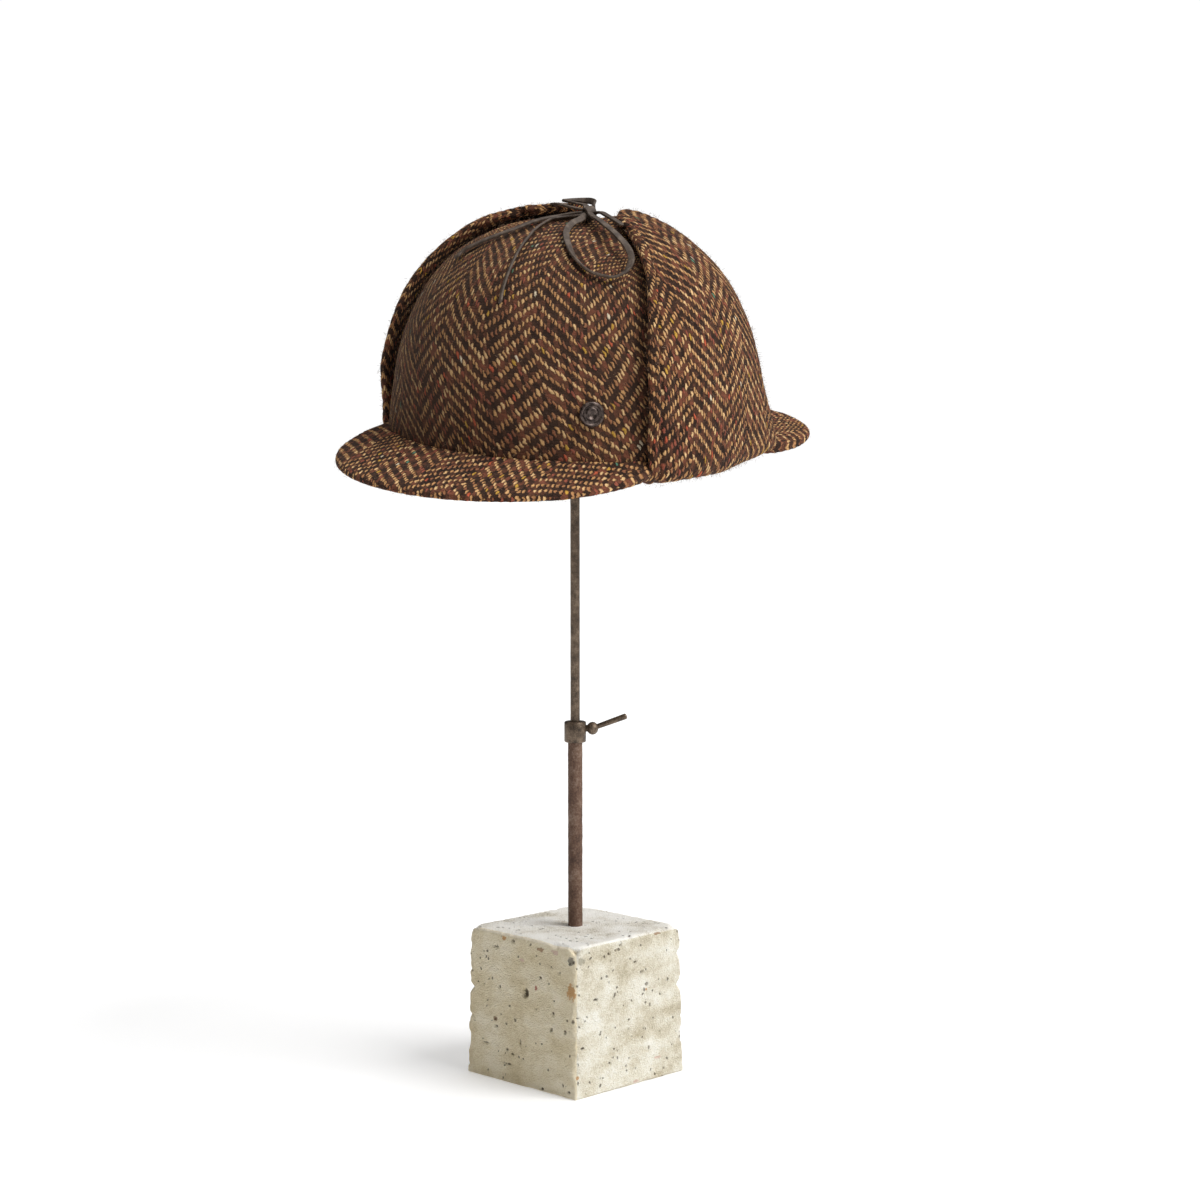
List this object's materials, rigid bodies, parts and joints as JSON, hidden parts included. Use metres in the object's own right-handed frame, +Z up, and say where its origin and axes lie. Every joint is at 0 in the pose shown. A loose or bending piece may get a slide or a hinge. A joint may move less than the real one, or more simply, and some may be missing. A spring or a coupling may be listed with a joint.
{
  "type": "deerstalker hat on a display stand",
  "caption": "Tweed deerstalker cap with peaks front and back and ear flaps tied up over the crown, on a rod clamped in a stone block.",
  "frame": {"origin": "middle of the stone block's underside, on the axis of the rods", "axes": "+Z up, -Y towards the hat's front peak, +X towards the wearer's left"},
  "size_m": [0.1815, 0.3006, 0.4445],
  "materials": {
    "tweed": "woven wool herringbone in dark brown and tan, matt with a light nap",
    "leather": "dark brown leather lace with fine grooves along it, satin",
    "bronze": "aged brown bronze, satin",
    "iron": "rusted and browned, matt",
    "stone": "rough pale cast stone with pits and small aggregate, matt"
  },
  "bodies": {
    "root": {"crown": "tweed", "front_peak": "tweed", "back_peak": "tweed", "left_flap": "tweed", "right_flap": "tweed", "button": "bronze", "left_thong": "leather", "front_loop": "leather", "front_tail": "leather", "right_thong": "leather", "top_loop": "leather", "side_tail": "leather", "tie_knot": "leather", "stone_block": "stone", "lower_tube": "iron", "upper_rod": "bronze", "clamp_collar": "bronze", "clamp_screw": "bronze", "hat_rest": "iron"}
  },
  "joints": []
}
